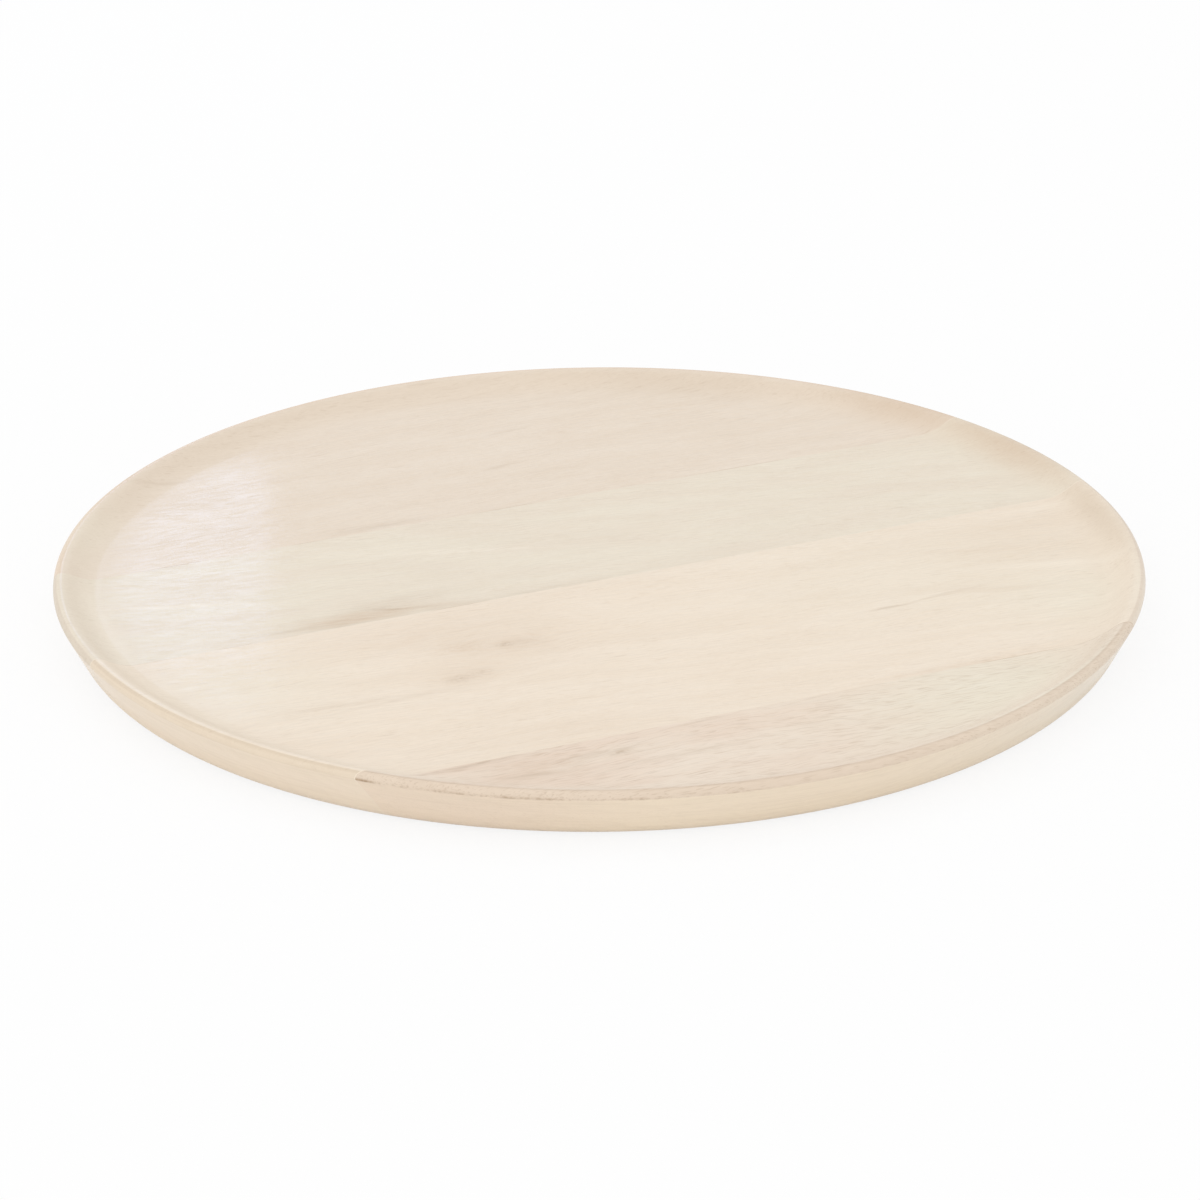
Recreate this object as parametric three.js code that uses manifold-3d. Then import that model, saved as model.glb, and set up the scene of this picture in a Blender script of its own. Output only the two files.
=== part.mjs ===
// Round serving plate, turned from a panel of four edge-glued wooden staves.
// Millimetres, +Z up. The origin is the centre of the flat underside, and the grain runs along X.
import * as THREE from "three";
import { mergeVertices } from "three/addons/utils/BufferGeometryUtils.js";
import Module from "manifold-3d";

const wasm = await Module();
wasm.setup();

// Overall size of the turned disc
const PLATE_DIAMETER = 400;
const PLATE_HEIGHT = 20;
const DISH_DEPTH = 5;

// Lip: its crown is rounded over to the outer arris, and a soft cove leads down to the dish floor
const CROWN_WIDTH = 2.5;
const CROWN_DROP = 2.6;
const DISH_SLOPE_WIDTH = 15;

// Outer wall: leans in from the arris and rounds under into the flat underside
const WALL_LEAN_DEGREES = 27;
const FOOT_RADIUS = 8;

// Panel: the outer two staves reach from their glue line to the rim
const CENTRE_JOINT_Y = -9.4;
const WIDE_STAVE_WIDTH = 124;
const NARROW_STAVE_WIDTH = 78.6;
const GLUE_THICKNESS = 0.3;

// Facets round the plate, and along each curve of its profile
const ROUND_FACETS = 120;
const CURVE_STEPS = 6;

// Bezier handles as shares of the dish slope's run: short at the ridge, long where the cove meets the floor
const RIDGE_HANDLE = 0.25;
const COVE_HANDLE = 0.55;

const rimRadius = PLATE_DIAMETER / 2;
const ridgeRadius = rimRadius - CROWN_WIDTH;
const floorRadius = ridgeRadius - DISH_SLOPE_WIDTH;
const floorHeight = PLATE_HEIGHT - DISH_DEPTH;
const arrisHeight = PLATE_HEIGHT - CROWN_DROP;
const wallLean = THREE.MathUtils.degToRad(WALL_LEAN_DEGREES);

// Rounded foot: an arc that touches both the underside and the leaning wall.
function addFoot(path) {
  const wallAtUnderside = rimRadius - arrisHeight * Math.tan(wallLean);
  const touch = FOOT_RADIUS * Math.tan(Math.PI / 4 - wallLean / 2);
  const centreRadius = wallAtUnderside - touch;
  path.lineTo(centreRadius, 0);
  path.absarc(centreRadius, FOOT_RADIUS, FOOT_RADIUS, -Math.PI / 2, -wallLean, false);
}

// Outer half of the lip: up the wall to the arris, then over the crown to the ridge.
function addCrown(path) {
  path.lineTo(rimRadius, arrisHeight);
  path.absellipse(ridgeRadius, arrisHeight, CROWN_WIDTH, CROWN_DROP, 0, Math.PI / 2, false, 0);
}

// Inner half of the lip: over the ridge, then down a cove that runs out gently into the dish floor.
function addDishSlope(path) {
  path.bezierCurveTo(
    ridgeRadius - DISH_SLOPE_WIDTH * RIDGE_HANDLE,
    PLATE_HEIGHT,
    floorRadius + DISH_SLOPE_WIDTH * COVE_HANDLE,
    floorHeight,
    floorRadius,
    floorHeight,
  );
}

// Half section of the whole plate, from the axis at the underside to the axis at the dish floor.
function turnedProfile() {
  const path = new THREE.Path();
  path.moveTo(0, 0);
  addFoot(path);
  addCrown(path);
  addDishSlope(path);
  path.lineTo(0, floorHeight);
  return path.getPoints(CURVE_STEPS);
}

// A closed geometry as a solid that can be cut.
function solidFrom(geometry) {
  const bare = geometry.clone();
  bare.deleteAttribute("normal");
  bare.deleteAttribute("uv");
  const merged = mergeVertices(bare);
  return new wasm.Manifold(
    new wasm.Mesh({
      numProp: 3,
      vertProperties: merged.attributes.position.array,
      triVerts: new Uint32Array(merged.index.array),
    }),
  );
}

// The plate in one piece, as if the glued panel had no joints.
function turnedDisc() {
  const lathe = new THREE.LatheGeometry(turnedProfile(), ROUND_FACETS);
  lathe.rotateX(Math.PI / 2);
  return solidFrom(lathe);
}

// A board of the rough panel, drawn between its two glue faces so that neighbours share a face exactly.
function roughBoard(frontY, backY) {
  const outline = new THREE.Shape();
  outline.moveTo(-PLATE_DIAMETER, frontY);
  outline.lineTo(PLATE_DIAMETER, frontY);
  outline.lineTo(PLATE_DIAMETER, backY);
  outline.lineTo(-PLATE_DIAMETER, backY);
  const depth = 2 * PLATE_HEIGHT;
  const board = new THREE.ExtrudeGeometry(outline, { depth, bevelEnabled: false });
  board.translate(0, 0, -PLATE_HEIGHT / 2);
  return solidFrom(board);
}

// A cut solid as a named mesh.
function meshFrom(solid, name, material) {
  const cut = solid.getMesh();
  const geometry = new THREE.BufferGeometry();
  geometry.setAttribute("position", new THREE.BufferAttribute(cut.vertProperties, 3));
  geometry.setIndex(new THREE.BufferAttribute(cut.triVerts, 1));
  geometry.computeVertexNormals();
  const mesh = new THREE.Mesh(geometry, material);
  mesh.name = name;
  return mesh;
}

// Whitewashed, satin-lacquered wood: each stave is a board of its own shade.
function whitewashedWood(color) {
  return new THREE.MeshStandardMaterial({ color, roughness: 0.45, metalness: 0 });
}

// Cured wood glue, a little lighter than the boards beside it.
function curedGlue() {
  return new THREE.MeshStandardMaterial({ color: 0xeee2cd, roughness: 0.5, metalness: 0 });
}

// Planes across the panel where one piece ends and the next begins, from front to back.
function panelPlanes() {
  const halfGlue = GLUE_THICKNESS / 2;
  const wideFront = CENTRE_JOINT_Y - halfGlue - WIDE_STAVE_WIDTH;
  const narrowBack = CENTRE_JOINT_Y + halfGlue + NARROW_STAVE_WIDTH;
  return [
    -PLATE_DIAMETER,
    wideFront - GLUE_THICKNESS,
    wideFront,
    CENTRE_JOINT_Y - halfGlue,
    CENTRE_JOINT_Y + halfGlue,
    narrowBack,
    narrowBack + GLUE_THICKNESS,
    PLATE_DIAMETER,
  ];
}

// The panel's pieces in their order from front to back.
const PANEL_PIECES = [
  ["front_stave", whitewashedWood(0xe4d3bd)],
  ["front_glue_line", curedGlue()],
  ["wide_centre_stave", whitewashedWood(0xecdcc4)],
  ["centre_glue_line", curedGlue()],
  ["narrow_centre_stave", whitewashedWood(0xe7dcc6)],
  ["back_glue_line", curedGlue()],
  ["back_stave", whitewashedWood(0xe5d7c5)],
];

// Each piece is the turned disc where it crosses that piece's board of the panel.
function buildPlate() {
  const plate = new THREE.Group();
  const disc = turnedDisc();
  const planes = panelPlanes();
  PANEL_PIECES.forEach(([name, material], index) => {
    const board = roughBoard(planes[index], planes[index + 1]);
    plate.add(meshFrom(disc.intersect(board), name, material));
  });
  return plate;
}

const plate = buildPlate();
plate.name = "serving_plate";

export default plate;
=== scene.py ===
"""Looks of the round wooden serving plate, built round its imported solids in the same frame.

Four boards and three glue lines are turned by one Geometry Nodes rule, and each is cut from the disc
between its own glue faces. The boards are dressed in solid grain that runs through them. Metres, +Z up,
grain along X. Grain is drawn in millimetres, as are all names that end in _mm.
"""

from __future__ import annotations

import logging
import math
from collections.abc import Mapping, Sequence
from dataclasses import dataclass
from enum import Enum
from typing import Any, ClassVar

import bpy
from mathutils import Matrix, Vector

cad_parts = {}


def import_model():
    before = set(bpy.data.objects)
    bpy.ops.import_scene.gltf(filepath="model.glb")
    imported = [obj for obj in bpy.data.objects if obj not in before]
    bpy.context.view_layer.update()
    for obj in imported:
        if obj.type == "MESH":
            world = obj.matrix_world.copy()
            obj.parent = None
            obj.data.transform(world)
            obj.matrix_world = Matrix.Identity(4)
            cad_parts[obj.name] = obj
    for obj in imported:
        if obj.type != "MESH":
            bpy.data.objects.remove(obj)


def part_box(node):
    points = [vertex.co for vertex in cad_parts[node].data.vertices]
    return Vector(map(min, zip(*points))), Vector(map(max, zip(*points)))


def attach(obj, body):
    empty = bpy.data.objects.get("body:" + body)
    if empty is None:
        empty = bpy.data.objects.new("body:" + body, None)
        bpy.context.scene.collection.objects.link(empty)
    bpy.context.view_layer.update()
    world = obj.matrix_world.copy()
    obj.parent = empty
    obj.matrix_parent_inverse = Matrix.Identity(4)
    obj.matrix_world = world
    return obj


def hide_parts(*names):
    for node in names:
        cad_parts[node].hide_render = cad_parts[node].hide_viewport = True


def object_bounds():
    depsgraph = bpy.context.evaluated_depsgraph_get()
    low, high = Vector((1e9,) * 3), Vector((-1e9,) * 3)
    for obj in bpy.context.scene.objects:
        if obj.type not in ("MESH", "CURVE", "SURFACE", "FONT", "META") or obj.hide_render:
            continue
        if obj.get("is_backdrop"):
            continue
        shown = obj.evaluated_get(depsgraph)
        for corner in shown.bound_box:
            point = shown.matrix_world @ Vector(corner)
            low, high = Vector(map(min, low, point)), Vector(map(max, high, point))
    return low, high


ROOT_BODY = "root"
MM_PER_METRE = 1000.0
WHITE = (1.0, 1.0, 1.0, 1.0)
BEYOND_RIM = 1.2
AT_RIM = 0.98

log = logging.getLogger("serving_plate")

Colour = tuple[float, float, float, float]


def tone(red: float, green: float, blue: float) -> Colour:
    """Turn a display colour into the linear colour that nodes take.

    Args:
        red: Red level, 0 to 255.
        green: Green level, 0 to 255.
        blue: Blue level, 0 to 255.

    Returns:
        Linear red, green, blue and an alpha of 1.
    """

    def linear(level: float) -> float:
        """Undo the display curve for one channel."""
        share = level / 255.0
        return share / 12.92 if share <= 0.04045 else ((share + 0.055) / 1.055) ** 2.4

    return (linear(red), linear(green), linear(blue), 1.0)


class Val:
    """A value inside a node tree that takes part in Python arithmetic."""

    def __init__(self, graph: Graph, socket: bpy.types.NodeSocket) -> None:
        """Keep the tree and the socket that carries the value."""
        self.graph = graph
        self.socket = socket

    def __add__(self, other: Operand) -> Val:
        """Sum of two values."""
        return self.graph.math("ADD", self, other)

    def __radd__(self, other: Operand) -> Val:
        """Sum with a plain number first."""
        return self.graph.math("ADD", other, self)

    def __sub__(self, other: Operand) -> Val:
        """Difference of two values."""
        return self.graph.math("SUBTRACT", self, other)

    def __rsub__(self, other: Operand) -> Val:
        """Difference from a plain number."""
        return self.graph.math("SUBTRACT", other, self)

    def __mul__(self, other: Operand) -> Val:
        """Product of two values."""
        return self.graph.math("MULTIPLY", self, other)

    def __rmul__(self, other: Operand) -> Val:
        """Product with a plain number first."""
        return self.graph.math("MULTIPLY", other, self)

    def __truediv__(self, other: Operand) -> Val:
        """Quotient of two values."""
        return self.graph.math("DIVIDE", self, other)

    def __rtruediv__(self, other: Operand) -> Val:
        """Quotient of a plain number and this value."""
        return self.graph.math("DIVIDE", other, self)

    def __neg__(self) -> Val:
        """This value with its sign turned."""
        return self.graph.math("MULTIPLY", self, -1.0)

    def squared(self) -> Val:
        """This value times itself."""
        return self.graph.math("MULTIPLY", self, self)

    def root(self) -> Val:
        """Square root of this value."""
        return self.graph.math("SQRT", self)

    def exp(self) -> Val:
        """The number e to the power of this value."""
        return self.graph.math("EXPONENT", self)

    def fraction(self) -> Val:
        """The part of this value after the point."""
        return self.graph.math("FRACT", self)

    def tangent(self) -> Val:
        """Tangent of this angle."""
        return self.graph.math("TANGENT", self)

    def sine(self) -> Val:
        """Sine of this angle."""
        return self.graph.math("SINE", self)

    def cosine(self) -> Val:
        """Cosine of this angle."""
        return self.graph.math("COSINE", self)

    def most(self, other: Operand) -> Val:
        """The greater of two values."""
        return self.graph.math("MAXIMUM", self, other)

    def step(self, start: float, end: float) -> Val:
        """Rise smoothly from 0 at start to 1 at end, or fall where end is the smaller.

        Args:
            start: Where the result is 0.
            end: Where the result is 1.

        Returns:
            The result, held at 0 and 1 beyond the ends.
        """
        low, high, first, last = (start, end, 0.0, 1.0) if start < end else (end, start, 1.0, 0.0)
        ranged = self.graph.node(
            "ShaderNodeMapRange",
            {"Value": self, "From Min": low, "From Max": high, "To Min": first, "To Max": last},
            interpolation_type="SMOOTHSTEP",
        )
        return self.graph.out(ranged, "Result")


Operand = Val | float


class Graph:
    """A node tree under construction, with one way to add any node."""

    def __init__(self, tree: bpy.types.NodeTree) -> None:
        """Start on a tree, which is emptied first."""
        self.tree = tree
        tree.nodes.clear()

    @staticmethod
    def _find(sockets: Sequence[bpy.types.NodeSocket], key: str) -> bpy.types.NodeSocket:
        """The socket with this identifier."""
        return next(socket for socket in sockets if socket.identifier == key)

    def node(self, kind: str, inputs: Mapping[str, Any] | None = None, **settings: Any) -> bpy.types.Node:
        """Add a node, set its options and feed its inputs.

        Args:
            kind: Type of the node.
            inputs: A value, a Val or a list of Vals for each input, by the socket's identifier.
            **settings: Options of the node, such as its operation.

        Returns:
            The new node.
        """
        made = self.tree.nodes.new(kind)
        for option, value in settings.items():
            setattr(made, option, value)
        for key, value in (inputs or {}).items():
            socket = self._find(made.inputs, key)
            for part in value if isinstance(value, list) else [value]:
                self._feed(socket, part)
        return made

    def _feed(self, socket: bpy.types.NodeSocket, value: Any) -> None:
        """Link a Val to a socket, or set a plain value on it.

        Args:
            socket: The input.
            value: A Val, or a plain value of the kind that the socket takes.
        """
        if isinstance(value, Val):
            self.tree.links.new(value.socket, socket)
        else:
            socket.default_value = value

    def out(self, node: bpy.types.Node, key: str) -> Val:
        """One output of a node, by the socket's identifier."""
        return Val(self, self._find(node.outputs, key))

    def math(self, operation: str, *values: Operand) -> Val:
        """Result of a Math node.

        Args:
            operation: The node's operation.
            *values: Its inputs, in order.

        Returns:
            The result.
        """
        made = self.node("ShaderNodeMath", operation=operation)
        for socket, value in zip(made.inputs, values):
            self._feed(socket, value)
        return self.out(made, "Value")

    def vector(self, x: Operand, y: Operand, z: Operand = 0.0) -> Val:
        """A vector from its three parts."""
        return self.out(self.node("ShaderNodeCombineXYZ", {"X": x, "Y": y, "Z": z}), "Vector")

    def parts(self, vector: Val) -> tuple[Val, Val, Val]:
        """The three parts of a vector."""
        made = self.node("ShaderNodeSeparateXYZ", {"Vector": vector})
        return self.out(made, "X"), self.out(made, "Y"), self.out(made, "Z")

    def scaled(self, vector: Val, factors: tuple[float, float, float]) -> Val:
        """A vector with each part multiplied by its own factor.

        Args:
            vector: The vector.
            factors: Factor of each part.

        Returns:
            The scaled vector.
        """
        made = self.node(
            "ShaderNodeVectorMath", {"Vector": vector, "Vector_001": factors}, operation="MULTIPLY"
        )
        return self.out(made, "Vector")

    def moved(self, vector: Val, shift: tuple[float, float, float]) -> Val:
        """A vector with a constant shift added.

        Args:
            vector: The vector.
            shift: What is added to each part.

        Returns:
            The moved vector.
        """
        made = self.node(
            "ShaderNodeVectorMath", {"Vector": vector, "Vector_001": shift}, operation="ADD"
        )
        return self.out(made, "Vector")

    def noise(self, place: Val, detail: float = 2.0, roughness: float = 0.5) -> Val:
        """Soft noise, about 0.5 on average, with one wave per unit of place.

        Args:
            place: Where the noise is read.
            detail: Octaves of finer noise.
            roughness: Share of each finer octave.

        Returns:
            The noise.
        """
        made = self.node(
            "ShaderNodeTexNoise",
            {"Vector": place, "Scale": 1.0, "Detail": detail, "Roughness": roughness},
            noise_dimensions="3D",
        )
        return self.out(made, "Fac")

    def blend(self, share: Operand, first: Val | Colour, second: Val | Colour) -> Val:
        """Mix two colours.

        Args:
            share: Share of the second colour.
            first: Colour at a share of 0.
            second: Colour at a share of 1.

        Returns:
            The mixed colour.
        """
        made = self.node(
            "ShaderNodeMix",
            {"Factor_Float": share, "A_Color": first, "B_Color": second},
            data_type="RGBA",
            blend_type="MIX",
            clamp_factor=True,
        )
        return self.out(made, "Result_Color")


@dataclass(frozen=True)
class PlateProfile:
    """Half section of the turned plate."""

    rim_radius: float
    height: float
    dish_depth: float = 0.005
    crown_width: float = 0.0025
    crown_drop: float = 0.0026
    slope_width: float = 0.015
    ridge_handle: float = 0.25
    cove_handle: float = 0.55
    wall_lean: float = math.radians(27.0)
    foot_radius: float = 0.008

    @property
    def floor_height(self) -> float:
        """Height of the dish floor."""
        return self.height - self.dish_depth

    @property
    def arris_height(self) -> float:
        """Height of the outer edge, where the wall meets the crown."""
        return self.height - self.crown_drop

    @property
    def ridge_radius(self) -> float:
        """Radius of the lip's highest line."""
        return self.rim_radius - self.crown_width

    @property
    def floor_radius(self) -> float:
        """Radius of the flat dish floor."""
        return self.ridge_radius - self.slope_width


class TurningRule:
    """Geometry Nodes tree that turns the profile and cuts one piece out of the disc."""

    ROUND_FACETS = 480
    CURVE_STEPS = 14
    FLAT_STEPS = 9
    WELD = 1e-6
    SHARP_ANGLE = math.radians(15.0)
    SLAB_REACH = 3.0
    SWEEP_HANGS_DOWN = (1.0, -1.0, 1.0)

    SIZES: tuple[str, ...] = (
        "Rim Radius",
        "Height",
        "Dish Depth",
        "Crown Width",
        "Crown Drop",
        "Slope Width",
        "Ridge Handle",
        "Cove Handle",
        "Wall Lean",
        "Foot Radius",
        "Front Face",
        "Back Face",
    )

    def __init__(self, profile: PlateProfile) -> None:
        """Build the tree for a profile.

        Args:
            profile: Half section that every piece is turned to.
        """
        self.profile = profile
        self.tree = bpy.data.node_groups.new("turned_piece", "GeometryNodeTree")
        self.graph = Graph(self.tree)
        self.sockets: dict[str, str] = {}
        for name in self.SIZES:
            self._add_input(name, "NodeSocketFloat")
        self._add_input("Round Facets", "NodeSocketInt")
        self._add_input("Finish", "NodeSocketMaterial")
        self.tree.interface.new_socket("Piece", in_out="OUTPUT", socket_type="NodeSocketGeometry")
        self.group_input = self.graph.node("NodeGroupInput")
        self._finish(self._cut(self._turn()))

    def _add_input(self, name: str, kind: str) -> None:
        """Add a named input and keep its identifier."""
        made = self.tree.interface.new_socket(name, in_out="INPUT", socket_type=kind)
        self.sockets[name] = made.identifier

    def _size(self, name: str) -> Val:
        """One named input as a value."""
        return self.graph.out(self.group_input, self.sockets[name])

    def _line(self, start: Val, end: Val, points: int) -> Val:
        """A straight run of the profile, in even steps.

        Args:
            start: Its first point.
            end: Its last point.
            points: Number of points.

        Returns:
            The run as a curve.
        """
        line = self.graph.node("GeometryNodeCurvePrimitiveLine", {"Start": start, "End": end})
        even = self.graph.node(
            "GeometryNodeResampleCurve",
            {"Curve": self.graph.out(line, "Curve"), "Count": points},
            mode="COUNT",
        )
        return self.graph.out(even, "Curve")

    def _arc(self, start: Operand, sweep: Operand, scale: Val, centre: Val) -> Val:
        """An arc of the unit circle, scaled and moved into place.

        Args:
            start: Angle at which it starts.
            sweep: Angle that it covers.
            scale: Its half axes.
            centre: Its centre.

        Returns:
            The arc as a curve.
        """
        arc = self.graph.node(
            "GeometryNodeCurveArc",
            {"Resolution": self.CURVE_STEPS, "Radius": 1.0, "Start Angle": start, "Sweep Angle": sweep},
            mode="RADIUS",
        )
        placed = self.graph.node(
            "GeometryNodeTransform",
            {"Geometry": self.graph.out(arc, "Curve"), "Scale": scale, "Translation": centre},
        )
        return self.graph.out(placed, "Geometry")

    def _profile_curves(self) -> list[Val]:
        """Runs of the profile from the axis below to the axis above, with x measured from the rim.

        Returns:
            The runs as curves, in order.
        """
        graph = self.graph
        axis = -self._size("Rim Radius")
        height, drop = self._size("Height"), self._size("Crown Drop")
        arris = height - drop
        floor = height - self._size("Dish Depth")
        ridge = -self._size("Crown Width")
        floor_edge = ridge - self._size("Slope Width")
        ridge_handle = self._size("Slope Width") * self._size("Ridge Handle")
        cove_handle = self._size("Slope Width") * self._size("Cove Handle")
        lean, foot = self._size("Wall Lean"), self._size("Foot Radius")
        foot_centre = -(arris * lean.tangent()) - foot * (math.pi / 4 - lean / 2).tangent()
        foot_end = graph.vector(foot_centre + foot * lean.cosine(), foot - foot * lean.sine())
        slope = graph.node(
            "GeometryNodeCurvePrimitiveBezierSegment",
            {
                "Resolution": self.CURVE_STEPS,
                "Start": graph.vector(ridge, height),
                "Start Handle": graph.vector(ridge - ridge_handle, height),
                "End Handle": graph.vector(floor_edge + cove_handle, floor),
                "End": graph.vector(floor_edge, floor),
            },
            mode="POSITION",
        )
        return [
            self._line(graph.vector(axis, 0.0), graph.vector(foot_centre, 0.0), self.FLAT_STEPS),
            self._arc(
                -math.pi / 2,
                math.pi / 2 - lean,
                graph.vector(foot, foot, 1.0),
                graph.vector(foot_centre, foot),
            ),
            self._line(foot_end, graph.vector(0.0, arris), self.FLAT_STEPS),
            self._arc(0.0, math.pi / 2, graph.vector(-ridge, drop, 1.0), graph.vector(ridge, arris)),
            graph.out(slope, "Curve"),
            self._line(graph.vector(floor_edge, floor), graph.vector(axis, floor), self.FLAT_STEPS),
        ]

    def _turn(self) -> Val:
        """The profile swept once round the axis and welded into a closed disc.

        Returns:
            The disc.
        """
        graph = self.graph
        joined = graph.node("GeometryNodeJoinGeometry", {"Geometry": self._profile_curves()})
        hung = graph.node(
            "GeometryNodeTransform",
            {"Geometry": graph.out(joined, "Geometry"), "Scale": self.SWEEP_HANGS_DOWN},
        )
        path = graph.node(
            "GeometryNodeCurvePrimitiveCircle",
            {"Resolution": self._size("Round Facets"), "Radius": self._size("Rim Radius")},
            mode="RADIUS",
        )
        upright = graph.node("GeometryNodeSetCurveNormal", {"Curve": graph.out(path, "Curve")}, mode="Z_UP")
        swept = graph.node(
            "GeometryNodeCurveToMesh",
            {"Curve": graph.out(upright, "Curve"), "Profile Curve": graph.out(hung, "Geometry")},
        )
        welded = graph.node(
            "GeometryNodeMergeByDistance", {"Geometry": graph.out(swept, "Mesh"), "Distance": self.WELD}
        )
        outward = graph.node("GeometryNodeFlipFaces", {"Mesh": graph.out(welded, "Geometry")})
        return graph.out(outward, "Mesh")

    def _cut(self, disc: Val) -> Val:
        """The part of the disc between the front and back faces.

        Args:
            disc: The whole disc.

        Returns:
            The cut piece.
        """
        graph = self.graph
        front, back = self._size("Front Face"), self._size("Back Face")
        radius, height = self._size("Rim Radius"), self._size("Height")
        slab = graph.node(
            "GeometryNodeMeshCube",
            {"Size": graph.vector(radius * self.SLAB_REACH, back - front, height * self.SLAB_REACH)},
        )
        middle = graph.vector(0.0, (front + back) / 2, height / 2)
        placed = graph.node(
            "GeometryNodeTransform",
            {"Geometry": graph.out(slab, "Mesh"), "Translation": middle},
        )
        cut = graph.node(
            "GeometryNodeMeshBoolean",
            {"Mesh 2": [disc, graph.out(placed, "Geometry")]},
            operation="INTERSECT",
            solver="MANIFOLD",
        )
        return graph.out(cut, "Mesh")

    def _finish(self, piece: Val) -> None:
        """Shade the piece smooth except at its corners, give it its finish and end the tree.

        Args:
            piece: The cut piece.
        """
        graph = self.graph
        smooth = graph.node(
            "GeometryNodeSetShadeSmooth", {"Geometry": piece, "Shade Smooth": True}, domain="FACE"
        )
        angle = graph.out(graph.node("GeometryNodeInputMeshEdgeAngle"), "Unsigned Angle")
        sharp = graph.node(
            "FunctionNodeCompare",
            {"A": angle, "B": self.SHARP_ANGLE},
            data_type="FLOAT",
            operation="GREATER_THAN",
        )
        crisp = graph.node(
            "GeometryNodeSetShadeSmooth",
            {
                "Geometry": graph.out(smooth, "Geometry"),
                "Selection": graph.out(sharp, "Result"),
                "Shade Smooth": False,
            },
            domain="EDGE",
        )
        real = graph.node("GeometryNodeRealizeInstances", {"Geometry": graph.out(crisp, "Geometry")})
        dressed = graph.node(
            "GeometryNodeSetMaterial",
            {"Geometry": graph.out(real, "Geometry"), "Material": self._size("Finish")},
        )
        output = graph.node("NodeGroupOutput")
        self.tree.links.new(dressed.outputs[0], output.inputs[0])

    def piece(self, name: str, front: float, back: float, finish: bpy.types.Material) -> bpy.types.Object:
        """Turn one piece and return it as a plain mesh object at the origin.

        Args:
            name: Name of the piece.
            front: Y of its front glue face, or beyond the rim.
            back: Y of its back glue face, or beyond the rim.
            finish: Material that it wears.

        Returns:
            The finished object, linked to the scene.
        """
        profile = self.profile
        holder = bpy.data.objects.new(name, bpy.data.meshes.new(name))
        bpy.context.scene.collection.objects.link(holder)
        modifier = holder.modifiers.new("turned", "NODES")
        modifier.node_group = self.tree
        sizes = (
            profile.rim_radius,
            profile.height,
            profile.dish_depth,
            profile.crown_width,
            profile.crown_drop,
            profile.slope_width,
            profile.ridge_handle,
            profile.cove_handle,
            profile.wall_lean,
            profile.foot_radius,
            front,
            back,
        )
        for label, size in zip(self.SIZES, sizes):
            modifier[self.sockets[label]] = size
        modifier[self.sockets["Round Facets"]] = self.ROUND_FACETS
        modifier[self.sockets["Finish"]] = finish
        depsgraph = bpy.context.evaluated_depsgraph_get()
        plain = bpy.data.meshes.new_from_object(holder.evaluated_get(depsgraph))
        plain.name = name
        holder.modifiers.remove(modifier)
        holder.data = plain
        return holder


class MarkKind(Enum):
    """What a mark in the wood is made of, or which colour a painted highlight or painted shade takes."""

    DARK = "dark"
    BROWN = "brown"
    PALE = "pale"
    OLIVE = "olive"


@dataclass(frozen=True)
class GrainMark:
    """A streak, patch or knot at a place in the board, seen from above; a few marks are painted highlight
    or painted shade instead, as noted where they are listed.
    """

    x_mm: float
    y_mm: float
    length_mm: float
    width_mm: float
    strength: float
    kind: MarkKind = MarkKind.DARK
    turn_deg: float = 0.0
    fibrous: float = 1.0
    grainy: float = 0.0


@dataclass(frozen=True)
class Knot:
    """A knot that the grain flows round."""

    x_mm: float
    y_mm: float
    reach_mm: float
    spread_mm: float
    push: float


@dataclass(frozen=True)
class CrownBand:
    """Where the crown's tone begins and is full, and where wall tone half covers it, out from the ridge;
    the crown tone is partly thinner whitewash and partly painted shade.
    """

    start_mm: float
    full_mm: float
    end_mm: float = 9.0


@dataclass(frozen=True)
class BoardGrain:
    """How one board's grain runs and what it is coloured, including painted shade in its cove and on its
    crown and painted light on its outer wall.
    """

    pale: Colour
    blush: Colour
    # cove: partly thinner whitewash, partly painted shade in the hollow.
    cove: Colour
    # crown and crown_end: partly thinner whitewash, partly painted shade on the crown.
    crown: Colour
    crown_end: Colour
    # wall and wall_end: partly the bare tan of the turned wall, partly painted light that lifts it.
    wall: Colour
    wall_end: Colour
    seed: float
    crown_band: CrownBand
    tilt_deg: float
    pith_y_mm: float
    pith_z_mm: float
    pith_rise: float
    wall_by_joint: Colour | None = None
    ring_gap_mm: float = 5.5
    ring_depth: float = 0.035
    pore_depth: float = 0.12
    fleck_depth: float = 0.05
    pore_stretch: float = 1.0
    worn_arris: float = 0.0
    # Strength of a painted dark line along the top of the ridge, which is painted shade.
    painted_ridge_shade: float = 0.0
    tints: tuple[GrainMark, ...] = ()
    marks: tuple[GrainMark, ...] = ()
    knots: tuple[Knot, ...] = ()


@dataclass(frozen=True)
class Lacquer:
    """Satin lacquer that covers the whole plate."""

    weight: float = 0.56
    unevenness: float = 0.42
    roughness: float = 0.11
    ior: float = 1.5

    def lay_on(self, shader: bpy.types.Node) -> None:
        """Set the coat's constants on a shader."""
        shader.inputs["Coat Roughness"].default_value = self.roughness
        shader.inputs["Coat IOR"].default_value = self.ior


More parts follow.
